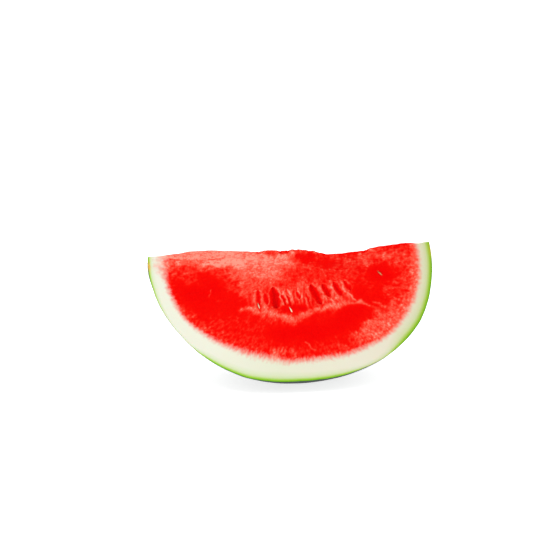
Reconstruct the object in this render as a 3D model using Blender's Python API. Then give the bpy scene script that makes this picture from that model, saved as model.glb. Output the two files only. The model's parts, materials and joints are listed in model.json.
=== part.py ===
"""Watermelon wedge: one hand-cut wedge of a small seedless melon, standing on its rind.

The melon is a plump oval. Two straight cuts that meet a little above its own axis take
out a wedge: the line where they meet is the ridge on top, and the melon's skin is the
rounded underside. Undeveloped pale seeds lie in shallow hollows in the two cut faces.

Frame: metres, +Z up. X runs along the ridge, -Y is the side of the front cut face, and the
origin is on the ground under the middle of the wedge.
"""

import math

import bmesh
import bpy
from mathutils import Matrix, Vector

MM = 0.001
CREASE_ANGLE = math.radians(30.0)  # sharper folds than this are shaded as edges

# ---- the melon ----
MELON_LENGTH = 239.0 * MM  # stem end to blossom end
MELON_DIAMETER = 196.0 * MM  # across the middle
SKIN_SEGMENTS = 96  # flats around the melon's axis
SKIN_RINGS = 48  # flats from end to end

# ---- the two cuts ----
WEDGE_ANGLE = math.radians(48.0)  # between the cut faces
RIDGE_ABOVE_AXIS = 15.7 * MM  # the cuts meet this far above the melon's axis
AXIS_SKEW = math.radians(6.0)  # the ridge isn't quite parallel to the melon's axis
MOST_TILT = math.radians(30.0)  # the standing wedge rocks no further than this from level
TILT_STEPS = 40  # halvings in the search for how it stands

# ---- the pale seeds ----
# Each one, as someone facing its cut face sees it: name, cut face (-1 front, +1 back),
# distance to the right of the ridge's middle, distance below the ridge, lean to the left
SEED_PLACES = (
    ("seed_front_left", -1, -30.6 * MM, 46.3 * MM, math.radians(14.0)),
    ("seed_front_middle", -1, -4.1 * MM, 51.1 * MM, math.radians(24.0)),
    ("seed_front_right", -1, 73.0 * MM, 25.3 * MM, math.radians(42.0)),
    ("seed_back_left", 1, -46.0 * MM, 41.0 * MM, math.radians(-24.0)),
    ("seed_back_right", 1, 22.0 * MM, 50.0 * MM, math.radians(8.0)),
)
SEED_LENGTH = 5.2 * MM
SEED_WIDTH = 3.0 * MM  # seen from the cut face, a seed stands on edge: its width goes into the flesh
SEED_THICKNESS = 1.4 * MM
SEED_POINT = 0.35  # how much narrower the seed is at its pointed end
SEED_PROUD = 0.4 * MM  # how far the seed's edge stands above the cut face
SEED_CLEARANCE = 0.4 * MM  # between a seed and the hollow that it lies in
SEED_SEGMENTS = 16
SEED_RINGS = 10


def clear_scene():
    """Start from an empty scene."""
    for thing in list(bpy.data.objects):
        bpy.data.objects.remove(thing, do_unlink=True)


def make_material(name, colour, roughness):
    """A plain Principled material."""
    material = bpy.data.materials.new(name)
    material.use_nodes = True
    shader = material.node_tree.nodes["Principled BSDF"]
    shader.inputs["Base Color"].default_value = (*colour, 1.0)
    shader.inputs["Roughness"].default_value = roughness
    shader.inputs["Metallic"].default_value = 0.0
    return material


def link_object(name, bm, material):
    """Turn a bmesh into a smooth-shaded object of its own."""
    mesh = bpy.data.meshes.new(name)
    bm.to_mesh(mesh)
    bm.free()
    mesh.materials.append(material)
    mesh.shade_smooth()
    mesh.set_sharp_from_angle(angle=CREASE_ANGLE)
    thing = bpy.data.objects.new(name, mesh)
    bpy.context.collection.objects.link(thing)
    return thing


def cut_flat(bm, point, normal):
    """Cut away what lies beyond a plane and close the cut with one flat face."""
    geometry = bm.verts[:] + bm.edges[:] + bm.faces[:]
    bmesh.ops.bisect_plane(bm, geom=geometry, plane_co=point, plane_no=normal, clear_outer=True)
    rim = [edge for edge in bm.edges if edge.is_boundary]
    bmesh.ops.holes_fill(bm, edges=rim, sides=0)


def make_melon():
    """The whole melon, its axis along X and level, one flat of the skin underneath."""
    bm = bmesh.new()
    bmesh.ops.create_uvsphere(bm, u_segments=SKIN_SEGMENTS, v_segments=SKIN_RINGS, radius=0.5)
    half_flat = Matrix.Rotation(math.pi / SKIN_SEGMENTS, 4, "Z")
    lay_down = Matrix.Rotation(math.pi / 2.0, 4, "Y")
    size = Matrix.Diagonal((MELON_LENGTH, MELON_DIAMETER, MELON_DIAMETER, 1.0))
    bm.transform(size @ lay_down @ half_flat)
    return bm


def face_frame(side):
    """The frame of a cut face before the wedge is stood up, as someone facing it sees it: X to
    the right, Y up the face, Z out of it, from the ridge. side is -1 for the front, +1 for the back.
    """
    half_angle = WEDGE_ANGLE / 2.0
    up = Vector((0.0, -side * math.sin(half_angle), math.cos(half_angle)))
    out = Vector((0.0, side * math.cos(half_angle), math.sin(half_angle)))
    right = up.cross(out)
    turn = Matrix((right, up, out)).transposed().to_4x4()
    return Matrix.Translation((0.0, 0.0, RIDGE_ABOVE_AXIS)) @ turn


def make_wedge_body():
    """The melon cut down to the wedge, with the ridge level and along X."""
    bm = make_melon()
    bm.transform(Matrix.Rotation(AXIS_SKEW, 4, "Y"))
    for side in (-1, 1):
        frame = face_frame(side)
        cut_flat(bm, frame.translation, frame.col[2].to_3d())
    bmesh.ops.recalc_face_normals(bm, faces=bm.faces)
    return bm


def centre_of_mass(bm):
    """The centroid of a closed mesh, from the tetrahedra that its triangles make."""
    volume = 0.0
    moment = Vector((0.0, 0.0, 0.0))
    for loops in bm.calc_loop_triangles():
        a, b, c = (loop.vert.co for loop in loops)
        part = a.dot(b.cross(c)) / 6.0
        volume += part
        moment += part * (a + b + c) / 4.0
    return moment / volume


def standing_tilt(bm):
    """How far the wedge rocks about Y before its centre of mass is over where it touches."""
    centre = centre_of_mass(bm)
    points = [vertex.co.copy() for vertex in bm.verts]
    low, high = -MOST_TILT, MOST_TILT
    for _ in range(TILT_STEPS):
        tilt = (low + high) / 2.0
        rock = Matrix.Rotation(tilt, 3, "Y")
        turned = [rock @ point for point in points]
        touch = min(turned, key=lambda point: point.z)
        if touch.x < (rock @ centre).x:
            low, high = tilt, high
        else:
            low, high = low, tilt
    return (low + high) / 2.0


def seed_frame(wedge_frame, place):
    """Where a seed lies: Y along the seed towards its point, Z out of the cut face."""
    _name, side, right, below, lean = place
    face = wedge_frame @ face_frame(side)
    spot = Matrix.Translation((right, -below, SEED_PROUD - SEED_WIDTH / 2.0))
    return face @ spot @ Matrix.Rotation(lean, 4, "Z")


def make_seed_shape(grow):
    """A flattened teardrop on edge, its point towards +Y, made bigger all round by grow."""
    bm = bmesh.new()
    bmesh.ops.create_uvsphere(bm, u_segments=SEED_SEGMENTS, v_segments=SEED_RINGS, radius=0.5)
    bm.transform(Matrix.Rotation(-math.pi / 2.0, 4, "X"))
    width = SEED_WIDTH + 2.0 * grow
    length = SEED_LENGTH + 2.0 * grow
    thickness = SEED_THICKNESS + 2.0 * grow
    for vertex in bm.verts:
        towards_point = vertex.co.y + 0.5
        taper = 1.0 - SEED_POINT * towards_point**2
        vertex.co.x *= thickness
        vertex.co.y *= length
        vertex.co.z *= width * taper
    return bm


def add_seed(wedge, wedge_frame, place, material):
    """One seed, and the hollow for it in the wedge's cut face."""
    name = place[0]
    frame = seed_frame(wedge_frame, place)

    seed = make_seed_shape(0.0)
    seed.transform(frame)
    link_object(name, seed, material)

    hollow = make_seed_shape(SEED_CLEARANCE)
    hollow.transform(frame)
    cutter = link_object(name + "_hollow", hollow, material)
    cutter.hide_render = True
    cutter.display_type = "WIRE"
    cut = wedge.modifiers.new(name + "_hollow", "BOOLEAN")
    cut.operation = "DIFFERENCE"
    cut.solver = "EXACT"
    cut.object = cutter


def build():
    """Make the wedge and its seeds."""
    clear_scene()
    cut_flesh = make_material("cut_flesh", (0.72, 0.02, 0.02), 0.35)
    pale_seed = make_material("pale_seed", (0.80, 0.68, 0.45), 0.40)

    body = make_wedge_body()
    rock = Matrix.Rotation(standing_tilt(body), 4, "Y")
    body.transform(rock)
    across = [vertex.co.x for vertex in body.verts]
    lowest = min(vertex.co.z for vertex in body.verts)
    settle = Matrix.Translation((-(min(across) + max(across)) / 2.0, 0.0, -lowest))
    body.transform(settle)
    wedge = link_object("wedge", body, cut_flesh)
    for place in SEED_PLACES:
        add_seed(wedge, settle @ rock, place, pale_seed)


build()
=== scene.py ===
import json
import math

import bpy
import numpy as np
from mathutils import Matrix, Vector, noise


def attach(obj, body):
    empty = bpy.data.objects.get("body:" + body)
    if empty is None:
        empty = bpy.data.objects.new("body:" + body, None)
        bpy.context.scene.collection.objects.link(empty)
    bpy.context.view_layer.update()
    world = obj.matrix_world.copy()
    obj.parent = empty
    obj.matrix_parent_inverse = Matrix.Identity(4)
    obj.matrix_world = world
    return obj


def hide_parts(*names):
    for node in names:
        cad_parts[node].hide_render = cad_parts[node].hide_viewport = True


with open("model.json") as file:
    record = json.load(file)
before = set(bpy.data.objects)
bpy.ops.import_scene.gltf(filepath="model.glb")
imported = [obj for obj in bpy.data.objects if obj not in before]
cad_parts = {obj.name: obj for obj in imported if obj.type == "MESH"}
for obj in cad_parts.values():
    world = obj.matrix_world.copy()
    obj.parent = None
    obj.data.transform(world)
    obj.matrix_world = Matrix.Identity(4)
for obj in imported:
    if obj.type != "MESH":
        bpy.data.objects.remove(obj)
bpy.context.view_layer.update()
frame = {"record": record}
MM = 0.001

# ------------------------------------------------------------------------------------------
# The cut: where the knife went. Two cuts meet in the ridge, a little above the melon's axis
# and skewed to it. Each face gets its own directions, as someone facing it sees them.
# ------------------------------------------------------------------------------------------
RIDGE_ABOVE_AXIS = 15.7 * MM
AXIS_SKEW = math.radians(6.0)


def deselect_all():
    if bpy.context.object and bpy.context.object.mode != "OBJECT":
        bpy.ops.object.mode_set(mode="OBJECT")
    bpy.ops.object.select_all(action="DESELECT")


def cut_plane(mount_name):
    """A cut face's point and outward normal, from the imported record."""
    mount = next(m for m in frame["record"]["mounts"] if m["name"] == mount_name)
    return Vector(mount["pos_m"]), Vector(mount["axis"]).normalized()


front_point, front_out = cut_plane("front_cut_face")
_, back_out = cut_plane("back_cut_face")
wedge_up = (front_out + back_out).normalized()
ridge_along = back_out.cross(front_out).normalized()
ridge_along *= math.copysign(1.0, ridge_along.x)
ridge_middle = wedge_up * (front_out.dot(front_point) / front_out.dot(wedge_up))
melon_centre = ridge_middle - wedge_up * RIDGE_ABOVE_AXIS
to_middle = ridge_along * (-melon_centre.x / ridge_along.x)
melon_centre += to_middle
ridge_middle += to_middle

face_right = {}
face_up = {}
face_out = {"front": front_out, "back": back_out}
for side, out in face_out.items():
    face_right[side] = ridge_along * (1.0 if side == "front" else -1.0)
    face_up[side] = out.cross(face_right[side]).normalized()


def on_face(side, right, below, out=0.0):
    """A point on a cut face, from the ridge's middle."""
    return ridge_middle + face_right[side] * right - face_up[side] * below + face_out[side] * out


# ------------------------------------------------------------------------------------------
# The wedge: flesh, pale rind and dark skin of a small seedless watermelon, one grown piece.
# It is made as a tent of two cut faces, folded at the ridge and closed below, which is then
# trimmed to the oval of the melon.
# ------------------------------------------------------------------------------------------
MELON_LENGTH = 239.0 * MM
MELON_DIAMETER = 196.0 * MM
FACE_LENGTH = 250.0 * MM
FACE_HEIGHT = 124.0 * MM
FACE_STEP = 0.8 * MM
SKIN_SEGMENTS = 320
SKIN_RINGS = 160

# the crest isn't straight: (right of the middle, height over the straight ridge)
CREST = (
    (-126.0, 0.0), (-108.0, 0.3), (-94.0, 1.1), (-85.0, 2.3), (-70.0, 2.0), (-52.0, 0.7),
    (-40.0, 0.0), (-28.0, -1.0), (-18.0, -0.5), (-6.0, -1.5), (6.0, -1.4), (16.0, -3.0),
    (25.0, -5.4), (31.0, -6.9), (41.0, -6.9), (52.0, -6.1), (62.0, -5.5), (68.0, -3.7),
    (76.0, -2.7), (86.0, -2.0), (96.0, -1.2), (108.0, -2.2), (114.0, -1.6), (126.0, -1.0),
)


def smooth(low, high, value):
    """0 below low, 1 above high and an even slope between, for arrays."""
    t = np.clip((value - low) / (high - low), 0.0, 1.0)
    return t * t * (3.0 - 2.0 * t)


def hump(value, middle, width):
    """A soft bell, 1 at its middle."""
    return np.exp(-(((value - middle) / width) ** 2))


def grain(points, size, seed=0.0):
    """Smooth noise from -1 to 1, its lumps about size across."""
    shift = Vector((seed * 17.3, seed * 5.1, seed * 9.7))
    return np.array([noise.noise(Vector(p) / size + shift) for p in points])


def positions(mesh):
    flat = np.empty(len(mesh.vertices) * 3)
    mesh.vertices.foreach_get("co", flat)
    return flat.reshape(-1, 3)


def set_positions(mesh, points):
    mesh.vertices.foreach_set("co", np.ascontiguousarray(points, dtype=np.float64).ravel())
    mesh.update()


# the tent: a flat sheet, one grid step each way
deselect_all()
steps_along = round(FACE_LENGTH / FACE_STEP)
steps_down = round(FACE_HEIGHT / FACE_STEP)
bpy.ops.mesh.primitive_grid_add(x_subdivisions=steps_along, y_subdivisions=2 * steps_down, size=2.0)
wedge = bpy.context.object
wedge.name = "watermelon_wedge"
sheet = positions(wedge.data)
right = sheet[:, 0] * FACE_LENGTH / 2.0
below = np.abs(sheet[:, 1]) * FACE_HEIGHT
is_front = sheet[:, 1] < 0.0

crest_right, crest_height = np.array(CREST).T * MM
# the crest's points are joined by even slopes, level at each point
place = np.clip(np.searchsorted(crest_right, right) - 1, 0, len(crest_right) - 2)
share = (right - crest_right[place]) / (crest_right[place + 1] - crest_right[place])
share = share * share * (3.0 - 2.0 * share)
height = crest_height[place] * (1.0 - share) + crest_height[place + 1] * share

# the knife slipped at the left: a narrow flat along the ridge, widest near its middle
SLIP_LEFT = -118.0 * MM
SLIP_WIDEST = -62.0 * MM
SLIP_RIGHT = -38.0 * MM
SLIP_WIDTH = 6.4 * MM
SLIP_BACK = 2.6 * MM


def slip_of(right):
    """The width of the slip's flat at a place along the ridge."""
    widening = np.clip((right - SLIP_LEFT) / (SLIP_WIDEST - SLIP_LEFT), 0.0, 1.0) ** 0.8
    narrowing = np.clip((SLIP_RIGHT - right) / (SLIP_RIGHT - SLIP_WIDEST), 0.0, 1.0) ** 0.7
    return SLIP_WIDTH * np.where(right < SLIP_WIDEST, widening, narrowing)


slip_width = slip_of(right)
slip = slip_width / SLIP_WIDTH
CREST_REACH = 26.0 * MM  # how far down the face the crest's waves are felt
gentle = (1.0 - smooth(0.0, CREST_REACH, below)) * (1.0 - slip)
sharp = np.clip(1.0 - below / np.maximum(slip_width, 0.1 * MM), 0.0, 1.0) * slip
front_share = gentle + sharp
back_share = 1.0 - smooth(0.0, CREST_REACH, below)
share_of_crest = np.where(is_front, front_share, back_share)
share_of_crest = np.where(below < 1e-7, 1.0, share_of_crest)

tent = np.empty_like(sheet)
for side, here in (("front", is_front), ("back", ~is_front)):
    flip = 1.0 if side == "front" else -1.0
    tent[here] = (
        np.array(ridge_middle)
        + np.outer(right[here] * flip, face_right[side])
        - np.outer(below[here], face_up[side])
    )
tent += np.outer(share_of_crest * height, wedge_up)
tent[:, 1] += share_of_crest * SLIP_BACK * slip
set_positions(wedge.data, tent)

# closed below: the border is drawn straight down, levelled and filled, all outside the melon
DRAWN_DOWN = 0.15
TENT_FLOOR = -0.05
bpy.ops.object.mode_set(mode="EDIT")
bpy.ops.mesh.select_all(action="SELECT")
bpy.ops.mesh.region_to_loop()
bpy.ops.mesh.extrude_region_move(TRANSFORM_OT_translate={"value": (0.0, 0.0, -DRAWN_DOWN)})
bpy.ops.transform.resize(value=(1.0, 1.0, 0.0), center_override=(0.0, 0.0, TENT_FLOOR))
bpy.ops.mesh.edge_face_add()
bpy.ops.mesh.select_all(action="SELECT")
bpy.ops.mesh.normals_make_consistent(inside=False)
bpy.ops.object.mode_set(mode="OBJECT")

# the melon
deselect_all()
bpy.ops.mesh.primitive_uv_sphere_add(segments=SKIN_SEGMENTS, ring_count=SKIN_RINGS, radius=1.0)
melon = bpy.context.object
melon_axis = Matrix.Rotation(AXIS_SKEW, 3, "Y") @ ridge_along
melon_turn = Vector((0.0, 0.0, 1.0)).rotation_difference(melon_axis)
to_melon = (
    Matrix.Translation(melon_centre)
    @ melon_turn.to_matrix().to_4x4()
    @ Matrix.Diagonal((MELON_DIAMETER / 2.0, MELON_DIAMETER / 2.0, MELON_LENGTH / 2.0, 1.0))
)
melon.data.transform(to_melon)

# the seeds that show, as the record's nodes: (node, side, right, below, lean in degrees)
SEEDS = (
    ("seed_front_left", "front", -30.6, 46.3, 14.0),
    ("seed_front_middle", "front", -4.1, 51.1, 24.0),
    ("seed_front_right", "front", 73.0, 25.3, 42.0),
    ("seed_back_left", "back", -46.0, 41.0, -24.0),
    ("seed_back_right", "back", 22.0, 50.0, 8.0),
)
SEED_LENGTH = 5.2 * MM
SEED_WIDTH = 3.0 * MM
SEED_THICKNESS = 1.4 * MM
SEED_SUNK = 1.0 * MM  # the seed stands on edge, its middle this far below the cut
SEED_CLEARANCE = 0.05 * MM
PIT_REACH = 1.02  # the hollow's outline, as a share of the seed's
PIT_DEEPER = 1.15
PIT_DEPTH = (SEED_SUNK + SEED_WIDTH / 2.0 + SEED_CLEARANCE) * PIT_DEEPER
# the pale tone painted round a seed: painted light against the hollow's shade
PIT_PAINTED_LIGHT = 0.7
ROW_MIDDLE = 7.0 * MM
ROW_LENGTH = 88.0 * MM
ROW_BELOW = 40.0 * MM
ROW_HEIGHT = 23.0 * MM

cut_flesh = bpy.data.materials.new("cut_flesh")
skin = bpy.data.materials.new("waxy_skin")
wedge.data.materials.append(cut_flesh)
melon.data.materials.append(skin)
trim = wedge.modifiers.new("trim", "BOOLEAN")
trim.operation = "INTERSECT"
trim.solver = "EXACT"
trim.material_mode = "TRANSFER"
trim.object = melon
deselect_all()
wedge.select_set(True)
bpy.context.view_layer.objects.active = wedge
bpy.ops.object.modifier_apply(modifier="trim")
bpy.data.objects.remove(melon)

# a finer grid where the slots and the seeds are
FACING = 0.9  # how squarely a cut's face looks out of it
bpy.ops.object.mode_set(mode="EDIT")
bpy.ops.mesh.select_all(action="DESELECT")
bpy.ops.object.mode_set(mode="OBJECT")
for face in wedge.data.polygons:
    if face.material_index or len(face.vertices) > 4:
        continue
    for side in ("front", "back"):
        offset = face.center - ridge_middle
        if face.normal.dot(face_out[side]) < FACING:
            continue
        at_right = offset.dot(face_right[side])
        at_below = -offset.dot(face_up[side])
        in_row = abs(at_right - ROW_MIDDLE) < ROW_LENGTH / 2.0
        in_row = in_row and abs(at_below - ROW_BELOW) < ROW_HEIGHT / 2.0
        at_seed = any(
            math.hypot(at_right - seed_right * MM, at_below - seed_below * MM) < SEED_LENGTH
            for _, seed_side, seed_right, seed_below, _ in SEEDS
            if seed_side == side
        )
        if at_seed or (in_row and side == "front"):
            face.select = True
bpy.ops.object.mode_set(mode="EDIT")
bpy.ops.mesh.select_mode(type="FACE")
bpy.ops.mesh.subdivide(number_cuts=1)
bpy.ops.object.mode_set(mode="OBJECT")

# where each point lies: in the melon, and on its cut face
points = positions(wedge.data)
normals = np.empty_like(points.ravel())
wedge.data.vertices.foreach_get("normal", normals)
normals = normals.reshape(-1, 3)
is_cut = np.zeros(len(points), dtype=bool)
is_skin = np.zeros(len(points), dtype=bool)
for face in wedge.data.polygons:
    (is_skin if face.material_index else is_cut)[list(face.vertices)] = True

inverse = np.array(to_melon.inverted())
in_sphere = points @ inverse[:3, :3].T + inverse[:3, 3]
radius = np.maximum(np.linalg.norm(in_sphere, axis=1), 1e-6)
slope = (in_sphere / radius[:, None]) @ inverse[:3, :3]
steepness = np.linalg.norm(slope, axis=1)
outward = slope / steepness[:, None]
depth = np.maximum((1.0 - radius) / steepness, 0.0)
axial = in_sphere[:, 2] / radius  # -1 at the left end of the melon, 1 at the right end
from_axis = np.hypot(in_sphere[:, 0], in_sphere[:, 1]) * MELON_DIAMETER / 2.0
around = np.arctan2(in_sphere[:, 1], in_sphere[:, 0]) * MELON_DIAMETER / 2.0

across = np.array(back_out - front_out)
on_front = normals @ across < 0.0
right = np.empty(len(points))
below = np.empty(len(points))
for side, here in (("front", on_front), ("back", ~on_front)):
    offset = points[here] - np.array(ridge_middle)
    right[here] = offset @ np.array(face_right[side])
    below[here] = -offset @ np.array(face_up[side])
FIBRES_MEET = 12.0 * MM  # where the fibres would meet, below the ridge
RIM_RADIUS = 100.0 * MM
along_rim = np.arctan2(below - FIBRES_MEET, right) * RIM_RADIUS

# the pale rind: how far below the skin it turns red, (place along the melon, mm)
RIND = (
    (-1.0, 13.0), (-0.86, 12.5), (-0.72, 15.5), (-0.5, 18.4), (-0.3, 20.3), (-0.1, 19.4),
    (0.0, 17.8), (0.2, 19.4), (0.4, 17.8), (0.6, 15.8), (0.8, 13.8), (0.94, 13.0), (1.0, 11.6),
)
rind_at, rind_depth = np.array(RIND).T
rind = np.interp(axial, rind_at, rind_depth) * MM
RIND_WANDER = 0.9 * MM
RIND_LUMPS = 16.0 * MM
rind += RIND_WANDER * grain(np.column_stack((along_rim, on_front * 0.1, rind)), RIND_LUMPS, 1.0)
rind_place = depth / rind
# towards both tips the rind turns red more slowly
blur = 0.62 * smooth(-92.0 * MM, -108.0 * MM, right)
blur *= (1.0 - smooth(8.0 * MM, 24.0 * MM, below)) * on_front
blur += 0.15 * smooth(0.75, 0.98, np.abs(axial)) * (1.0 - blur)
rind_place = 1.0 + (rind_place - 1.0) * (1.0 - blur)
in_flesh = smooth(0.8, 1.15, rind_place)

# What the cut shows, by side, in mm right of and below the ridge's middle.
# patches: (right, below, reach right, reach below, turn in degrees, tone from 0 deep to 1 pale)
PATCHES = {
    "front": (
        (-4.0, 20.0, 66.0, 20.0, 0.0, 0.4),
        (-100.0, 7.0, 16.0, 6.0, 0.0, 0.9),
        (-50.0, 8.0, 34.0, 6.5, -3.0, 1.1),
        (-24.0, 16.0, 27.0, 12.0, 8.0, 0.82),
        (-6.0, 9.0, 14.0, 6.0, 0.0, 0.9),
        (12.0, 22.0, 16.0, 8.0, 0.0, 0.36),
        (90.0, 44.0, 17.0, 20.0, 0.0, 0.4),
        (75.0, 13.0, 26.0, 9.0, -3.0, 0.6),
        (103.0, 34.0, 8.0, 28.0, -8.0, 0.62),
        (82.0, 57.0, 14.0, 9.0, 30.0, 0.58),
        (64.0, 71.0, 22.0, 9.5, 22.0, 0.74),
        (-79.0, 31.0, 24.0, 15.0, -12.0, 0.0),
        (-52.0, 44.0, 20.0, 13.0, 0.0, 0.12),
        (-90.0, 17.0, 16.0, 7.0, -30.0, 0.36),
        (73.0, 25.0, 12.0, 11.0, 20.0, 0.0),
        (52.0, 41.0, 15.0, 8.0, 0.0, 0.1),
        (4.0, 71.0, 34.0, 9.0, 0.0, 0.0),
        (44.0, 60.0, 24.0, 9.5, 24.0, 0.0),
        (11.0, 8.5, 10.0, 3.4, 0.0, 0.05),
        (30.0, 14.0, 12.0, 4.0, 0.0, 0.15),
        (-20.0, 87.0, 7.0, 4.0, 20.0, 0.62),
        (-46.0, 66.0, 26.0, 9.0, -30.0, 0.24),
        (-34.0, 3.0, 12.0, 5.0, 0.0, 0.92),
        (-3.0, 58.5, 8.0, 4.2, 0.0, 0.7),
        (-14.0, 55.0, 9.0, 2.8, -18.0, 0.68),
        (9.0, 55.0, 8.0, 2.4, 18.0, 0.6),
        (-24.0, 53.0, 14.0, 3.8, -8.0, 0.72),
        (-36.0, 49.5, 10.0, 2.6, 0.0, 0.74),
        (30.0, 50.5, 13.0, 2.8, 10.0, 0.78),
        (-41.0, 34.0, 6.0, 7.0, 0.0, 0.5),
        (-33.0, 30.0, 16.0, 7.0, 0.0, 0.62),
        (5.0, 37.0, 7.5, 9.0, 0.0, 0.78),
    ),
    "back": (
        (8.0, 18.0, 60.0, 17.0, 0.0, 0.5),
        (30.0, 14.0, 34.0, 10.0, 6.0, 0.85),
        (-30.0, 20.0, 25.0, 9.0, -8.0, 0.7),
        (76.0, 33.0, 22.0, 15.0, 12.0, 0.0),
        (-76.0, 26.0, 20.0, 13.0, -18.0, 0.05),
        (-62.0, 66.0, 20.0, 9.0, -24.0, 0.8),
        (-6.0, 72.0, 34.0, 9.0, 0.0, 0.0),
        (46.0, 66.0, 22.0, 9.0, 24.0, 0.1),
        (20.0, 84.0, 9.0, 4.0, -20.0, 0.7),
    ),
}
# slots: empty seed places, (right and below of the top, of the bottom, width, how deep)
SLOTS = {
    "front": (
        (-30.5, 33.0, -30.0, 45.0, 3.6, 0.4), (-24.5, 36.0, -23.5, 46.0, 3.2, 0.4),
        (-17.4, 31.5, -16.0, 49.5, 8.6, 1.6), (-10.6, 38.0, -8.0, 47.0, 2.2, 1.1),
        (-6.5, 39.0, -3.5, 48.0, 2.2, 1.2), (1.8, 36.5, 4.5, 43.0, 3.0, 1.0),
        (9.6, 38.0, 11.5, 46.0, 2.0, 0.8), (13.8, 31.0, 21.6, 48.5, 6.0, 2.0),
        (24.0, 31.4, 29.4, 42.5, 5.2, 1.8), (33.2, 30.4, 39.4, 42.2, 5.0, 1.2),
        (42.2, 30.0, 47.4, 38.0, 3.4, 0.8),
    ),
    "back": (
        (-40.0, 30.0, -44.0, 42.0, 2.6, 1.8), (-31.0, 30.0, -33.5, 44.0, 3.4, 2.4),
        (-22.0, 33.0, -23.5, 45.0, 2.4, 1.6), (-12.0, 31.0, -13.0, 47.0, 4.2, 2.6),
        (-3.0, 34.0, -3.0, 48.0, 2.6, 1.8), (6.0, 35.0, 7.0, 47.0, 2.2, 1.6),
        (14.0, 32.0, 16.0, 46.0, 3.6, 2.6), (29.0, 33.0, 33.0, 46.0, 2.8, 1.8),
        (38.0, 31.0, 43.0, 43.0, 2.4, 1.6),
    ),
}
# webs: pale lines where the melon's seed walls meet the cut, (points, width, tone, how proud)
WEBS = {
    "front": (
        (((-46.0, 49.0), (-37.0, 48.5), (-28.0, 51.0), (-19.0, 53.5), (-10.0, 56.5), (-3.6, 58.0),
          (5.0, 56.4), (14.0, 53.6), (22.0, 51.2), (32.0, 49.7), (42.0, 48.2), (57.0, 48.0)),
         2.4, 0.84, 0.2),
        (((-33.0, 32.5), (-33.6, 40.0), (-34.0, 47.0)), 1.1, 0.85, 0.3),
        (((-27.4, 33.0), (-27.2, 42.0)), 1.1, 0.8, 0.3),
        (((-12.9, 33.5), (-11.4, 40.0), (-9.6, 46.5)), 1.2, 0.95, 0.4),
        (((-9.6, 35.0), (-7.6, 40.0), (-5.6, 46.0)), 1.1, 0.9, 0.4),
        (((-5.4, 34.0), (-2.6, 40.0), (-1.2, 46.5)), 1.3, 0.95, 0.4),
        (((19.8, 31.5), (23.0, 38.0), (25.4, 44.0)), 2.0, 0.98, 0.4),
        (((30.0, 30.0), (32.0, 36.0), (35.0, 44.5)), 2.0, 0.98, 0.4),
        (((39.4, 30.0), (41.5, 36.0), (44.4, 42.0)), 1.8, 0.92, 0.3),
        (((-26.0, 46.0), (-24.0, 52.0)), 1.2, 0.85, 0.2),
        (((10.0, 47.0), (12.0, 55.0)), 1.3, 0.8, 0.2),
        (((21.0, 48.5), (25.0, 52.5)), 1.1, 0.85, 0.2),
        (((30.5, 44.0), (34.0, 50.0)), 1.2, 0.9, 0.3),
        (((37.0, 43.0), (41.0, 49.0)), 1.0, 0.85, 0.2),
        (((45.0, 40.0), (49.5, 45.0), (53.5, 49.0), (60.0, 50.0)), 1.1, 0.95, 0.3),
        (((-98.0, 1.5), (-89.0, 2.0), (-64.0, 5.4), (-41.0, 2.6)), 0.9, 0.95, 0.1),
        (((-41.0, 3.0), (-56.0, 9.0), (-72.0, 14.5)), 1.0, 0.9, 0.2),
        (((6.0, 79.0), (9.0, 81.0), (10.5, 84.5), (14.0, 85.5)), 0.9, 0.75, 0.3),
        (((14.0, 78.0), (18.0, 80.5), (19.0, 84.0)), 0.8, 0.5, 0.3),
        (((-71.0, 37.0), (-69.0, 31.5)), 0.8, 0.65, 0.2),
        (((-66.0, 41.0), (-62.0, 40.0)), 0.8, 0.6, 0.1),
        (((60.0, 50.5), (67.0, 55.0), (72.0, 62.0), (76.0, 66.0)), 1.5, 0.75, 0.3),
        (((66.0, 49.0), (73.0, 52.0), (80.0, 57.0)), 1.3, 0.7, 0.2),
    ),
    "back": (
        (((-56.0, 47.0), (-44.0, 48.0), (-30.0, 51.0), (-16.0, 54.0), (-4.0, 57.0), (8.0, 57.0),
          (20.0, 53.0), (32.0, 51.0), (46.0, 48.0), (58.0, 46.0)), 2.3, 0.85, 0.5),
        (((-60.0, 47.0), (-68.0, 52.0), (-74.0, 60.0)), 1.3, 0.7, 0.2),
        (((60.0, 46.0), (68.0, 50.0), (76.0, 52.0)), 1.3, 0.7, 0.2),
    ),
}


def line_distance(right, below, line):
    """How far each point is from a broken line."""
    nearest = np.full(len(right), 1.0)
    for (x0, y0), (x1, y1) in zip(line, line[1:]):
        along_x, along_y = x1 - x0, y1 - y0
        t = ((right - x0) * along_x + (below - y0) * along_y) / (along_x**2 + along_y**2)
        t = np.clip(t, 0.0, 1.0)
        nearest = np.minimum(nearest, np.hypot(right - x0 - t * along_x, below - y0 - t * along_y))
    return nearest


BASE_TONE = 0.28
PATCH_EDGE = 1.6  # how quickly a patch ends at its outline
ROW_DOWN = (27.0, 36.0, 46.0, 52.0)  # the row of slots: starts, is full, fades, ends, in mm
ROW_ACROSS = (-44.0, -34.0, 44.0, 54.0)
DEEP_BELOW_ROW = 50.5 * MM
DEEP_ACROSS = (-14.0, -10.0, 8.0, 16.0)
TORN_ACROSS = (-36.0, -20.0, 88.0, 104.0)
RIDGE_WIDTH = 1.7  # the pale ridges between the slots, and their length, in mm
RIDGE_LENGTH = 13.0


def between(value, edges):
    """1 between two edges and 0 outside them, with a soft slope at each, from four places in mm."""
    starts, full, fades, ends = np.array(edges) * MM
    return smooth(starts, full, value) * (1.0 - smooth(fades, ends, value))


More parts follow.
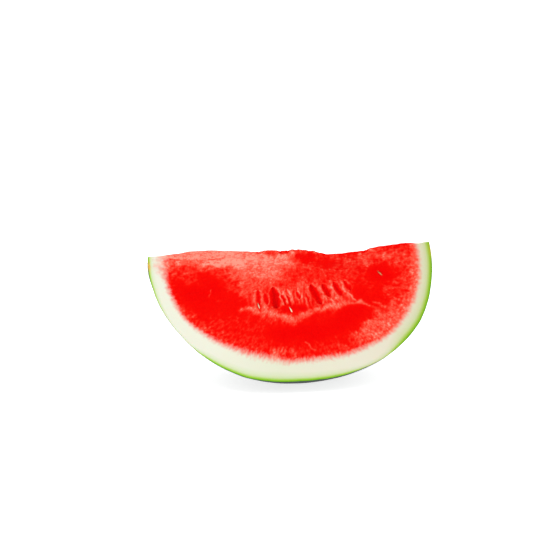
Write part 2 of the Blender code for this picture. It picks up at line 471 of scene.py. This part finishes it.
tone = np.full(len(points), BASE_TONE)
relief = np.zeros(len(points))
wet = np.zeros(len(points))
for side, here in (("front", on_front & is_cut), ("back", ~on_front & is_cut)):
    there = points[here]
    at_right = right[here]
    at_below = below[here]
    level = np.zeros(len(at_right))
    lumps_8 = grain(there, 8.0 * MM, 2.0)
    lumps_7 = grain(there, 7.0 * MM, 3.0)
    lumps_4 = grain(there, 4.0 * MM, 4.0)
    lumps_2 = grain(there, 2.1 * MM, 5.0)
    lumps_20 = grain(there, 20.0 * MM, 6.0)
    # fibres run from the rind to the melon's middle
    fan = np.column_stack((along_rim[here] / 2.4, depth[here] / 10.0, level)) / MM
    fibres = grain(fan, 1.0, 7.0)
    fan_fine = np.column_stack((along_rim[here] / 1.5, depth[here] / 2.8, level)) / MM
    fibres_fine = grain(fan_fine, 1.0, 8.0)

    wander_r = at_right + (3.0 * lumps_8 + 1.2 * lumps_4) * MM
    wander_b = at_below + (3.0 * lumps_7 + 1.2 * fibres) * MM
    shade = BASE_TONE + 0.16 * lumps_20 + 0.12 * lumps_8
    for right_mm, below_mm, reach_r, reach_b, turn, value in PATCHES[side]:
        dx = wander_r - right_mm * MM
        dy = wander_b - below_mm * MM
        c = math.cos(math.radians(turn))
        s = math.sin(math.radians(turn))
        u = (dx * c - dy * s) / (reach_r * MM)
        v = (dx * s + dy * c) / (reach_b * MM)
        share = np.exp(-((u * u + v * v) ** PATCH_EDGE))
        shade = shade * (1.0 - share) + value * share
    # the pale flesh is the torn, grainy flesh
    grainy = smooth(0.05, 0.42, shade)
    pale = smooth(0.42, 0.8, shade)
    coarse = (0.03 + 0.18 * grainy - 0.1 * pale) * lumps_4
    shade += (0.04 + 0.26 * grainy - 0.15 * pale) * lumps_2 + coarse
    fine = (0.04 + 0.12 * grainy - 0.05 * pale) * fibres_fine
    shade += (0.03 + 0.16 * grainy - 0.09 * pale) * fibres + fine
    edge_band = hump(rind_place[here], 1.25, 0.26)
    shade += edge_band * (0.07 + 0.1 * lumps_2 + 0.08 * fibres_fine)
    # beside the rind the right end is evenly pale
    beside_rind = hump(rind_place[here], 1.1, 0.24) * smooth(50.0 * MM, 90.0 * MM, at_right)
    shade = shade * (1.0 - 0.6 * beside_rind) + 0.6 * 0.86 * beside_rind
    # the slip of the knife left a smeared flat, with a deeper streak at its foot
    slip_here = slip_of(at_right if side == "front" else -at_right)
    on_slip = 1.0 - smooth(0.8, 1.15, at_below / np.maximum(slip_here, 0.5 * MM))
    on_slip *= smooth(0.2 * MM, 1.0 * MM, slip_here)
    if side == "back":
        on_slip *= 1.0 - smooth(1.0 * MM, 3.0 * MM, at_below)
    smeared = grain(np.column_stack((at_right / 16.0, at_below / 1.6, level)) / MM, 1.0, 10.0)
    # the flat is painted pale: partly smeared flesh, partly painted light, as it faces up
    shade = shade * (1.0 - on_slip) + (0.93 + 0.14 * smeared + 0.08 * lumps_2) * on_slip
    if side == "front":
        streak = hump(at_below, slip_here * 0.9, 0.6 * MM) * hump(at_right, -64.0 * MM, 7.0 * MM)
        shade = shade * (1.0 - 0.6 * streak)
    rise = (0.10 + 0.16 * grainy) * lumps_2 * MM + (0.12 + 0.2 * grainy) * lumps_4 * MM
    rise += 0.3 * lumps_20 * MM + 0.12 * fibres * MM

    # the row of slots between the two webs, pale ridges between them
    slot_r = at_right + (0.9 * lumps_4 + 0.35 * lumps_2) * MM
    row = between(at_below, ROW_DOWN)
    row *= between(at_right, ROW_ACROSS)
    comb_of_side = np.full(len(at_right), 3.0 + (side == "back"))
    comb = np.column_stack((at_right / RIDGE_WIDTH, at_below / RIDGE_LENGTH, comb_of_side)) / MM
    combed = grain(comb, 1.0, 9.0)
    shade = shade * (1.0 - 0.7 * row) + 0.7 * row * (0.5 + 0.5 * combed + 0.16 * lumps_2)
    # deep flesh between the slots and the web
    under_row = hump(at_below, DEEP_BELOW_ROW, 3.4 * MM)
    under_row *= between(at_right, DEEP_ACROSS)
    shade = shade * (1.0 - under_row)
    rise += row * (0.4 * combed - 0.1) * MM
    hole = np.zeros(len(at_right))
    for top_r, top_b, end_r, end_b, width, deep in SLOTS[side]:
        along_x = (end_r - top_r) * MM
        along_y = (end_b - top_b) * MM
        length = math.hypot(along_x, along_y)
        from_top_r = slot_r - top_r * MM
        from_top_b = at_below - top_b * MM
        share = (from_top_r * along_x + from_top_b * along_y) / length**2
        aside = (from_top_r * along_y - from_top_b * along_x) / length
        leaf = np.sin(np.pi * np.clip(share, 0.0, 1.0)) ** 0.45 * width * MM / 2.0
        inside = np.exp(-((aside / np.maximum(leaf, 0.1 * MM)) ** 2) * 1.1) * (leaf > 0.2 * MM)
        # a slot's deep red: partly its own flesh, partly painted shade, darker in wider hollows
        shade = shade * (1.0 - inside) + (0.12 - 0.045 * width) * inside
        rise -= inside * deep * MM
        # the pale lip round a slot is partly pale flesh, partly a painted highlight on its edge
        lip = hump(np.abs(aside), leaf + 0.8 * MM, 0.9 * MM) * (leaf > 0.2 * MM)
        shade += 0.26 * lip * (1.0 - inside)
        hole = np.maximum(hole, inside)
    for line, width, value, proud in WEBS[side]:
        near = line_distance(
            at_right + (0.9 * lumps_4 + 0.6 * lumps_2) * MM,
            at_below + (1.5 * lumps_7 + 0.7 * lumps_2) * MM,
            np.array(line) * MM,
        )
        share = np.exp(-((near / (width * MM)) ** 2) * 1.6)
        share *= np.clip(0.74 + 0.6 * lumps_2 + 0.5 * lumps_4, 0.0, 1.0) * (1.0 - 0.8 * hole)
        shade = shade * (1.0 - share) + value * share
        rise += share * proud * MM
    # torn flesh along the crest
    torn = (1.0 - smooth(2.0 * MM, 14.0 * MM, at_below)) * between(at_right, TORN_ACROSS)
    rise += torn * (0.9 * lumps_4 + 0.5 * lumps_2) * MM
    shade += torn * 0.25 * lumps_4

    rise *= 1.0 - 0.9 * on_slip
    rise *= smooth(0.5 * MM, 4.0 * MM, depth[here])
    rise *= 0.12 + 0.88 * in_flesh[here]

    # each seed lies in a hollow of its own
    for _, seed_side, right_mm, below_mm, lean in SEEDS:
        if seed_side != side:
            continue
        dx = at_right - right_mm * MM
        dy = at_below - below_mm * MM
        c = math.cos(math.radians(lean))
        s = math.sin(math.radians(lean))
        u = np.abs(dx * c - dy * s)
        v = np.abs(dx * s + dy * c)
        half_width = SEED_THICKNESS / 2.0 + SEED_CLEARANCE
        half_length = SEED_LENGTH / 2.0 + SEED_CLEARANCE
        reach = np.hypot(u / half_width, v / half_length)
        pit = np.sqrt(np.clip(1.0 - (reach / PIT_REACH) ** 2, 0.0, 1.0))
        calm = 1.0 - smooth(1.6, 2.6, reach)
        rise = rise * (1.0 - calm) - pit * PIT_DEPTH
        # the hollow round the seed is painted pale pink: painted light lifting its shade
        in_pit = 1.0 - smooth(1.0, 1.5, reach)
        shade = shade * (1.0 - 0.5 * calm) * (1.0 - in_pit) + PIT_PAINTED_LIGHT * in_pit
    relief[here] = rise
    tone[here] = shade
    wet[here] = 1.0 - grainy

moved = points.copy()
for side, here in (("front", on_front & is_cut), ("back", ~on_front & is_cut)):
    moved[here] += relief[here, None] * np.array(face_out[side])

# the skin: gentle swells, and a corky scar at each end where the stalk and the flower were
SCAR_RADIUS = 5.0 * MM
SCAR_DENT = 1.6
RING_PROUD = 0.35
FALLS_BY = 2.4 * MM
FALLS_OVER = 14.0 * MM
scar = np.exp(-((from_axis / SCAR_RADIUS) ** 4)) * (np.abs(axial) > 0.5)
ring = hump(from_axis, SCAR_RADIUS * 1.5, SCAR_RADIUS * 0.4) * (np.abs(axial) > 0.5)
swell = 0.25 * MM * grain(points, 26.0 * MM, 11.0) + 0.1 * MM * grain(points, 7.0 * MM, 12.0)
swell += np.where(axial > 0.0, RING_PROUD * ring - SCAR_DENT * scar, 0.0) * MM
swell += 0.3 * MM * scar * grain(points, 2.0 * MM, 13.0)
# the melon isn't a true oval: how far it stands out along its length, (place along, mm)
LOPSIDED = (
    (-1.0, 0.9), (-0.97, -0.4), (-0.9, -0.9), (-0.78, -1.0), (-0.65, 0.0), (-0.5, 0.9),
    (-0.3, 1.7), (-0.2, 1.0), (-0.1, 0.2), (0.05, -1.0), (0.2, -1.1), (0.37, -0.3), (0.5, 0.0),
    (0.65, 0.8), (0.8, 1.3), (0.9, 1.2), (0.96, 0.0), (1.0, -1.2),
)
lopsided_at, lopsided_by = np.array(LOPSIDED).T
swell += np.interp(axial, lopsided_at, lopsided_by) * MM
# and its left end falls away behind the front cut
behind_front = -(points - np.array(ridge_middle)) @ np.array(front_out)
behind_back = -(points - np.array(ridge_middle)) @ np.array(back_out)
falls_away = smooth(0.0, FALLS_OVER, behind_front) * smooth(0.0, FALLS_OVER, behind_back)
swell -= FALLS_BY * falls_away * (1.0 - smooth(-0.45, 0.0, axial))
swell *= smooth(-0.5 * MM, 9.0 * MM, points[:, 2])  # it lies on its own weight
swell *= 1.0 - smooth(0.0, 30.0 * MM, depth)
moved += swell[:, None] * outward
moved[:, 2] = np.maximum(moved[:, 2], 0.0)
set_positions(wedge.data, moved)


def keep(mesh, name, values):
    """Stores one number per point for the material to read."""
    made = mesh.attributes.new(name, "FLOAT", "POINT")
    made.data.foreach_set("value", np.ascontiguousarray(values, dtype=np.float32))


# the green under the skin is broader towards the right end: (place along the melon, how broad)
LINE_WIDTH = (
    (-1.0, 0.7), (-0.93, 0.5), (-0.85, 0.3), (-0.7, 0.3), (-0.6, 0.7), (-0.42, 0.9), (-0.1, 1.1),
    (0.3, 0.9), (0.5, 0.5), (0.68, 0.7), (0.8, 1.6), (1.0, 1.5),
)
line_at, line_depth = np.array(LINE_WIDTH).T
line_width = np.interp(axial, line_at, line_depth)
# and it fades out where the knife left the skin thin
faded = 3.4 * hump(axial, -0.79, 0.14) + 2.0 * hump(axial, 0.59, 0.13)
keep(wedge.data, "line_depth", depth / MM / line_width + faded)
keep(wedge.data, "rind_place", rind_place)
keep(wedge.data, "along_rim", along_rim / MM)
keep(wedge.data, "depth", depth / MM)
keep(wedge.data, "tone", np.clip(tone, -0.5, 1.5))
keep(wedge.data, "wet", wet)
keep(wedge.data, "axial", axial)
keep(wedge.data, "around", around / MM)
corky_rim = hump(below, 8.0 * MM, 3.4 * MM) * smooth(-112.0 * MM, -116.0 * MM, right)
corky_rim += 0.4 * hump(below, 9.0 * MM, 6.0 * MM) * smooth(110.0 * MM, 116.0 * MM, right)
corky_rim *= on_front * (1.0 - smooth(0.8 * MM, 2.6 * MM, depth))
corky_end = np.clip(scar + 0.12 * ring, 0.0, 1.0)
keep(wedge.data, "scar", np.where(is_skin & ~is_cut, corky_end, corky_rim))
deselect_all()
wedge.select_set(True)
bpy.context.view_layer.objects.active = wedge
SHARP_ANGLE = math.radians(50.0)  # only the ridge and the rims stay sharp
bpy.ops.object.shade_smooth_by_angle(angle=SHARP_ANGLE)


def linear(code):
    """An sRGB hex colour as the linear colour a material wants."""
    levels = [int(code[i : i + 2], 16) / 255.0 for i in (1, 3, 5)]
    straight = [v / 12.92 if v <= 0.04045 else ((v + 0.055) / 1.055) ** 2.4 for v in levels]
    return tuple(straight) + (1.0,)


def add_node(tree, kind, settings=None, inputs=None):
    """Adds a node with its settings; an input is a value, or the socket that feeds it."""
    made = tree.nodes.new(kind)
    for name, value in (settings or {}).items():
        setattr(made, name, value)
    for socket, value in (inputs or {}).items():
        if isinstance(value, bpy.types.NodeSocket):
            tree.links.new(value, made.inputs[socket])
        else:
            made.inputs[socket].default_value = value
    return made


def set_stops(ramp, stops):
    """Gives a Color Ramp its (place, colour) stops."""
    elements = ramp.color_ramp.elements
    while len(elements) > 1:
        elements.remove(elements[-1])
    elements[0].position = stops[0][0]
    elements[0].color = linear(stops[0][1])
    for place, code in stops[1:]:
        elements.new(place).color = linear(code)


# Cut watermelon: wet flesh, grainy where it tore and smooth where it cut clean, that turns to
# a firm pale rind with a lime line just under the skin. Moist, so it has a soft sheen.
LIME_STOPS = (
    (0.0, "#529210"), (0.06, "#7AB81C"), (0.16, "#9ACA42"), (0.26, "#B8D67A"),
    (0.38, "#CFDDAC"), (0.58, "#D9E1C2"), (1.0, "#E4E5D3"),
)
FLESH_STOPS = (
    (0.0, "#CC0000"), (0.2, "#E90000"), (0.4, "#EE0801"), (0.6, "#F02C1C"), (0.8, "#F25541"),
    (0.9, "#F6715E"), (1.0, "#FB9480"),
)
TOOTH_WIDTH = 2.6  # mm; the red flesh meets the rind in small teeth
TOOTH_LENGTH = 4.0
TOOTH_REACH = 0.36  # as a share of the rind's thickness
THREAD_WIDTH = 1.5  # mm
THREAD_LENGTH = 3.4
SACS_PER_METRE = 700.0
LIME_REACH = 8.0  # the lime stops end this many line widths below the skin
cut_flesh.use_nodes = True
tree = cut_flesh.node_tree
tree.nodes.clear()
attribute = {}
for name in ("line_depth", "rind_place", "along_rim", "depth", "tone", "wet", "axial", "scar"):
    attribute[name] = add_node(tree, "ShaderNodeAttribute", {"attribute_name": name}).outputs["Fac"]
place = add_node(tree, "ShaderNodeTexCoord").outputs["Object"]
teeth_x = add_node(
    tree, "ShaderNodeMath", {"operation": "DIVIDE"}, {0: attribute["along_rim"], 1: TOOTH_WIDTH}
)
teeth_y = add_node(
    tree, "ShaderNodeMath", {"operation": "DIVIDE"}, {0: attribute["depth"], 1: TOOTH_LENGTH}
)
teeth_at = add_node(
    tree, "ShaderNodeCombineXYZ", None, {"X": teeth_x.outputs[0], "Y": teeth_y.outputs[0]}
)
teeth = add_node(
    tree, "ShaderNodeTexNoise", None, {"Vector": teeth_at.outputs[0], "Scale": 1.0, "Detail": 3.0}
)
teeth_part = add_node(
    tree, "ShaderNodeMath", {"operation": "MULTIPLY_ADD"},
    {0: teeth.outputs["Fac"], 1: TOOTH_REACH, 2: -TOOTH_REACH / 2.0},
)
toothed = add_node(
    tree, "ShaderNodeMath", {"operation": "ADD"},
    {0: attribute["rind_place"], 1: teeth_part.outputs[0]},
)
flesh_share = add_node(
    tree, "ShaderNodeMapRange", {"interpolation_type": "SMOOTHSTEP"},
    {"Value": toothed.outputs[0], "From Min": 0.7, "From Max": 1.16},
)
# juice sacs, 1.5 mm, on fibres that run in from the rind; they show where the flesh tore
sacs = add_node(
    tree, "ShaderNodeTexNoise", None, {"Vector": place, "Scale": SACS_PER_METRE, "Detail": 2.0}
)
thread_x = add_node(
    tree, "ShaderNodeMath", {"operation": "DIVIDE"}, {0: attribute["along_rim"], 1: THREAD_WIDTH}
)
thread_y = add_node(
    tree, "ShaderNodeMath", {"operation": "DIVIDE"}, {0: attribute["depth"], 1: THREAD_LENGTH}
)
thread_at = add_node(
    tree, "ShaderNodeCombineXYZ", None, {"X": thread_x.outputs[0], "Y": thread_y.outputs[0]}
)
threads = add_node(
    tree, "ShaderNodeTexNoise", None,
    {"Vector": thread_at.outputs[0], "Scale": 1.0, "Detail": 2.0, "Distortion": 0.4},
)
both = add_node(
    tree, "ShaderNodeMath", {"operation": "ADD"}, {0: sacs.outputs["Fac"], 1: threads.outputs["Fac"]}
)
centred = add_node(tree, "ShaderNodeMath", {"operation": "SUBTRACT"}, {0: both.outputs[0], 1: 1.0})
sac_strength = add_node(
    tree, "ShaderNodeMapRange", None, {"Value": attribute["wet"], "To Min": 0.55, "To Max": 0.12}
)
sac_part = add_node(
    tree, "ShaderNodeMath", {"operation": "MULTIPLY"},
    {0: centred.outputs[0], 1: sac_strength.outputs[0]},
)
flesh_tone = add_node(
    tree, "ShaderNodeMath", {"operation": "ADD"}, {0: attribute["tone"], 1: sac_part.outputs[0]}
)
tone_place = add_node(
    tree, "ShaderNodeMapRange", None,
    {"Value": flesh_tone.outputs[0], "From Min": -0.25, "From Max": 1.0},
)
flesh_colour = add_node(tree, "ShaderNodeValToRGB", None, {"Fac": tone_place.outputs[0]})
set_stops(flesh_colour, FLESH_STOPS)
line_place = add_node(
    tree, "ShaderNodeMath", {"operation": "DIVIDE", "use_clamp": True},
    {0: attribute["line_depth"], 1: LIME_REACH},
)
rind_colour = add_node(tree, "ShaderNodeValToRGB", None, {"Fac": line_place.outputs[0]})
set_stops(rind_colour, LIME_STOPS)
# towards the right end the rind is darker and pinker: partly its own tint, partly painted shade
end_place = add_node(
    tree, "ShaderNodeMath", {"operation": "MULTIPLY_ADD"}, {0: attribute["axial"], 1: 0.5, 2: 0.5}
)
rind_tint_and_shade = add_node(tree, "ShaderNodeValToRGB", None, {"Fac": end_place.outputs[0]})
set_stops(
    rind_tint_and_shade, ((0.2, "#FFFFFF"), (0.45, "#F7F9F2"), (0.75, "#FAF5F2"), (1.0, "#F4EBE4"))
)
tinted_shaded_rind = add_node(
    tree, "ShaderNodeMix", {"data_type": "RGBA", "blend_type": "MULTIPLY"},
    {"Factor": 1.0, "A": rind_colour.outputs["Color"], "B": rind_tint_and_shade.outputs["Color"]},
)
corky = add_node(
    tree, "ShaderNodeMix", {"data_type": "RGBA"},
    {"Factor": attribute["scar"], "A": tinted_shaded_rind.outputs["Result"], "B": linear("#E2B24E")},
)
colour = add_node(
    tree, "ShaderNodeMix", {"data_type": "RGBA"},
    {
        "Factor": flesh_share.outputs[0], "A": corky.outputs["Result"],
        "B": flesh_colour.outputs["Color"],
    },
)
roughness = add_node(
    tree, "ShaderNodeMapRange", None, {"Value": attribute["wet"], "To Min": 0.5, "To Max": 0.34}
)
bump_height = add_node(
    tree, "ShaderNodeMath", {"operation": "MULTIPLY"},
    {0: sacs.outputs["Fac"], 1: flesh_share.outputs[0]},
)
bump = add_node(
    tree, "ShaderNodeBump", None,
    {"Height": bump_height.outputs[0], "Strength": 0.5, "Distance": 0.4 * MM},
)
surface = add_node(
    tree, "ShaderNodeBsdfPrincipled", None,
    {
        "Base Color": colour.outputs["Result"], "Roughness": roughness.outputs[0], "IOR": 1.35,
        "Specular IOR Level": 0.05, "Normal": bump.outputs[0], "Subsurface Weight": 0.12,
        "Subsurface Radius": (1.0, 0.4, 0.25), "Subsurface Scale": 1.5 * MM,
    },
)
add_node(tree, "ShaderNodeOutputMaterial", None, {"Surface": surface.outputs[0]})

# Watermelon skin: almost black green, with faint darker veins along the melon and a dull bloom
# of natural wax, which gives it a soft grey-green sheen.
VEIN_WIDTH = 14.0  # mm round the melon
VEINS_ALONG = 3.0
PORES_PER_METRE = 420.0
skin.use_nodes = True
tree = skin.node_tree
tree.nodes.clear()
for name in ("around", "axial", "scar"):
    attribute[name] = add_node(tree, "ShaderNodeAttribute", {"attribute_name": name}).outputs["Fac"]
place = add_node(tree, "ShaderNodeTexCoord").outputs["Object"]
vein_x = add_node(
    tree, "ShaderNodeMath", {"operation": "DIVIDE"}, {0: attribute["around"], 1: VEIN_WIDTH}
)
vein_y = add_node(
    tree, "ShaderNodeMath", {"operation": "MULTIPLY"}, {0: attribute["axial"], 1: VEINS_ALONG}
)
vein_at = add_node(
    tree, "ShaderNodeCombineXYZ", None, {"X": vein_x.outputs[0], "Y": vein_y.outputs[0]}
)
veins = add_node(
    tree, "ShaderNodeTexNoise", None,
    {"Vector": vein_at.outputs[0], "Scale": 1.0, "Detail": 4.0, "Distortion": 0.6},
)
skin_colour = add_node(tree, "ShaderNodeValToRGB", None, {"Fac": veins.outputs["Fac"]})
set_stops(skin_colour, ((0.32, "#04100B"), (0.5, "#081A12"), (0.68, "#122C20")))
pores = add_node(
    tree, "ShaderNodeTexVoronoi", None, {"Vector": place, "Scale": PORES_PER_METRE}
)
pore_share = add_node(
    tree, "ShaderNodeMapRange", None,
    {
        "Value": pores.outputs["Distance"], "From Min": 0.06, "From Max": 0.16,
        "To Min": 0.5, "To Max": 0.0,
    },
)
pored = add_node(
    tree, "ShaderNodeMix", {"data_type": "RGBA"},
    {"Factor": pore_share.outputs[0], "A": skin_colour.outputs["Color"], "B": linear("#24452F")},
)
corked = add_node(
    tree, "ShaderNodeMix", {"data_type": "RGBA"},
    {"Factor": attribute["scar"], "A": pored.outputs["Result"], "B": linear("#8A7B46")},
)
wax = add_node(tree, "ShaderNodeTexNoise", None, {"Vector": place, "Scale": 60.0, "Detail": 4.0})
wax_roughness = add_node(
    tree, "ShaderNodeMapRange", None, {"Value": wax.outputs["Fac"], "To Min": 0.34, "To Max": 0.56}
)
skin_bump = add_node(
    tree, "ShaderNodeBump", None,
    {"Height": pores.outputs["Distance"], "Strength": 0.15, "Distance": 0.2 * MM},
)
surface = add_node(
    tree, "ShaderNodeBsdfPrincipled", None,
    {
        "Base Color": corked.outputs["Result"], "Roughness": wax_roughness.outputs[0],
        "Normal": skin_bump.outputs[0], "IOR": 1.35, "Specular IOR Level": 0.1,
    },
)
add_node(tree, "ShaderNodeOutputMaterial", None, {"Surface": surface.outputs[0]})

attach(wedge, "root")
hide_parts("wedge")

# ------------------------------------------------------------------------------------------
# The seeds: the small soft white pips of a seedless melon, empty seed coats that stand on edge
# in the flesh. Each is a flat drop, pointed where it was attached, with a wrinkled coat.
# ------------------------------------------------------------------------------------------
SEED_POINT = 0.45
SEED_SHRUNK = 0.22
SEED_UNEVEN = 0.035
SEED_SEGMENTS = 40
SEED_RINGS = 28
WRINKLES_PER_METRE = 1600.0
BROWNED = {"seed_front_left": 0.5, "seed_front_right": 1.0}  # the others stayed pale
seed_coat = bpy.data.materials.new("soft_seed_coat")
seed_coat.use_nodes = True
tree = seed_coat.node_tree
tree.nodes.clear()
place = add_node(tree, "ShaderNodeTexCoord").outputs["Object"]
wrinkle = add_node(
    tree, "ShaderNodeTexNoise", None, {"Vector": place, "Scale": WRINKLES_PER_METRE, "Detail": 3.0}
)
coat_colour = add_node(tree, "ShaderNodeValToRGB", None, {"Fac": wrinkle.outputs["Fac"]})
set_stops(coat_colour, ((0.3, "#FFDAA4"), (0.5, "#FFEBC4"), (0.7, "#FFF8E2")))
browned = add_node(tree, "ShaderNodeAttribute", {"attribute_name": "browned"})
aged = add_node(
    tree, "ShaderNodeMix", {"data_type": "RGBA"},
    {
        "Factor": browned.outputs["Fac"], "A": coat_colour.outputs["Color"],
        "B": linear("#E08452"),
    },
)
coat_bump = add_node(
    tree, "ShaderNodeBump", None,
    {"Height": wrinkle.outputs["Fac"], "Strength": 0.4, "Distance": 0.1 * MM},
)
surface = add_node(
    tree, "ShaderNodeBsdfPrincipled", None,
    {
        "Base Color": aged.outputs["Result"], "Roughness": 0.4, "Normal": coat_bump.outputs[0],
        "Subsurface Weight": 0.1, "Subsurface Radius": (1.0, 0.7, 0.4),
        "Subsurface Scale": 0.2 * MM,
    },
)
add_node(tree, "ShaderNodeOutputMaterial", None, {"Surface": surface.outputs[0]})

for number, (node_name, side, right_mm, below_mm, lean) in enumerate(SEEDS):
    deselect_all()
    bpy.ops.mesh.primitive_uv_sphere_add(
        segments=SEED_SEGMENTS, ring_count=SEED_RINGS, radius=1.0
    )
    seed = bpy.context.object
    seed.name = node_name.replace("seed", "pip")
    ball = positions(seed.data)
    height = ball[:, 2]  # 1 at the pointed end
    taper = 1.0 - SEED_POINT * smooth(-0.3, 1.0, height)
    flat = ball.copy()
    # thin across, deep into the flesh, long up and down
    flat[:, 0] *= SEED_THICKNESS / 2.0 * taper
    flat[:, 1] *= SEED_WIDTH / 2.0 * taper
    flat[:, 2] *= SEED_LENGTH / 2.0
    # a raised margin round the edge, and a coat that has shrunk a little in between
    shrunk = 1.0 - SEED_SHRUNK * (1.0 - np.abs(ball[:, 1])) * (1.0 - np.abs(height)) ** 0.5
    flat[:, 0] *= shrunk
    flat *= 1.0 + SEED_UNEVEN * grain(ball, 0.35, number + 20.0)[:, None]
    c = math.cos(math.radians(lean))
    s = math.sin(math.radians(lean))
    up = face_up[side] * c - face_right[side] * s
    wide = face_right[side] * c + face_up[side] * s
    middle = on_face(side, right_mm * MM, below_mm * MM, -SEED_SUNK)
    laid = (
        np.array(middle)
        + np.outer(flat[:, 0], wide)
        + np.outer(-flat[:, 1], face_out[side])
        + np.outer(flat[:, 2], up)
    )
    set_positions(seed.data, laid)
    keep(seed.data, "browned", np.full(len(laid), BROWNED.get(node_name, 0.0)))
    bpy.ops.object.mode_set(mode="EDIT")
    bpy.ops.mesh.select_all(action="SELECT")
    bpy.ops.mesh.normals_make_consistent(inside=False)
    bpy.ops.object.mode_set(mode="OBJECT")
    bpy.ops.object.shade_smooth()
    seed.data.materials.append(seed_coat)
    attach(seed, "root")
    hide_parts(node_name)

# ------------------------------------------------------------------------------------------
# The table: a sheet of matt white acrylic, lit softly from below, so that shadows on it stay
# faint.
# ------------------------------------------------------------------------------------------
TABLE_SIZE = 12.0
TABLE_GLOW = 0.76
deselect_all()
bpy.ops.mesh.primitive_plane_add(size=TABLE_SIZE, location=(0.0, 0.0, 0.0))
table = bpy.context.object
table.name = "white_card"
white_card = bpy.data.materials.new("matt_white_card")
white_card.use_nodes = True
tree = white_card.node_tree
tree.nodes.clear()
place = add_node(tree, "ShaderNodeTexCoord").outputs["Object"]
pulp = add_node(tree, "ShaderNodeTexNoise", None, {"Vector": place, "Scale": 40.0, "Detail": 4.0})
card_colour = add_node(tree, "ShaderNodeValToRGB", None, {"Fac": pulp.outputs["Fac"]})
set_stops(card_colour, ((0.3, "#F8F8F8"), (0.7, "#FBFBFB")))
surface = add_node(
    tree, "ShaderNodeBsdfPrincipled", None,
    {
        "Base Color": card_colour.outputs["Color"], "Roughness": 0.9, "Specular IOR Level": 0.1,
        "Emission Color": (1.0, 1.0, 1.0, 1.0), "Emission Strength": TABLE_GLOW,
    },
)
add_node(tree, "ShaderNodeOutputMaterial", None, {"Surface": surface.outputs[0]})
table.data.materials.append(white_card)

# ------------------------------------------------------------------------------------------
# The light: a white room, and one big soft lamp above and to the left.
# ------------------------------------------------------------------------------------------
ROOM_STRENGTH = 0.72
LAMP_PLACE = Vector((-0.5, -0.9, 2.2))
LAMP_SIZE = 1.4
LAMP_POWER = 15.0
world = bpy.data.worlds.new("white_room")
bpy.context.scene.world = world
world.use_nodes = True
room = world.node_tree.nodes["Background"]
room.inputs["Color"].default_value = (1.0, 1.0, 1.0, 1.0)
room.inputs["Strength"].default_value = ROOM_STRENGTH
deselect_all()
bpy.ops.object.light_add(type="AREA", location=LAMP_PLACE)
lamp = bpy.context.object
lamp.name = "soft_lamp"
lamp.data.shape = "DISK"
lamp.data.size = LAMP_SIZE
lamp.data.energy = LAMP_POWER
lamp.rotation_euler = (-LAMP_PLACE).to_track_quat("-Z", "Y").to_euler()

# ------------------------------------------------------------------------------------------
# The camera: a long lens a little above the wedge, facing its front.
# ------------------------------------------------------------------------------------------
CAMERA_DISTANCE = 2.4
CAMERA_AROUND = math.radians(-8.0)
CAMERA_ABOVE = math.radians(16.0)
CAMERA_LENS = 194.5
CAMERA_ASIDE = 20.6 * MM
toward_camera = Vector((
    math.sin(CAMERA_AROUND) * math.cos(CAMERA_ABOVE),
    -math.cos(CAMERA_AROUND) * math.cos(CAMERA_ABOVE),
    math.sin(CAMERA_ABOVE),
))
camera_right = Vector((math.cos(CAMERA_AROUND), math.sin(CAMERA_AROUND), 0.0))
aim = melon_centre - camera_right * CAMERA_ASIDE
deselect_all()
bpy.ops.object.camera_add(location=aim + toward_camera * CAMERA_DISTANCE)
camera = bpy.context.object
camera.rotation_euler = toward_camera.to_track_quat("Z", "Y").to_euler()
camera.data.lens = CAMERA_LENS
bpy.context.scene.camera = camera
bpy.context.scene.view_settings.view_transform = "Standard"
bpy.context.scene.view_settings.look = "None"
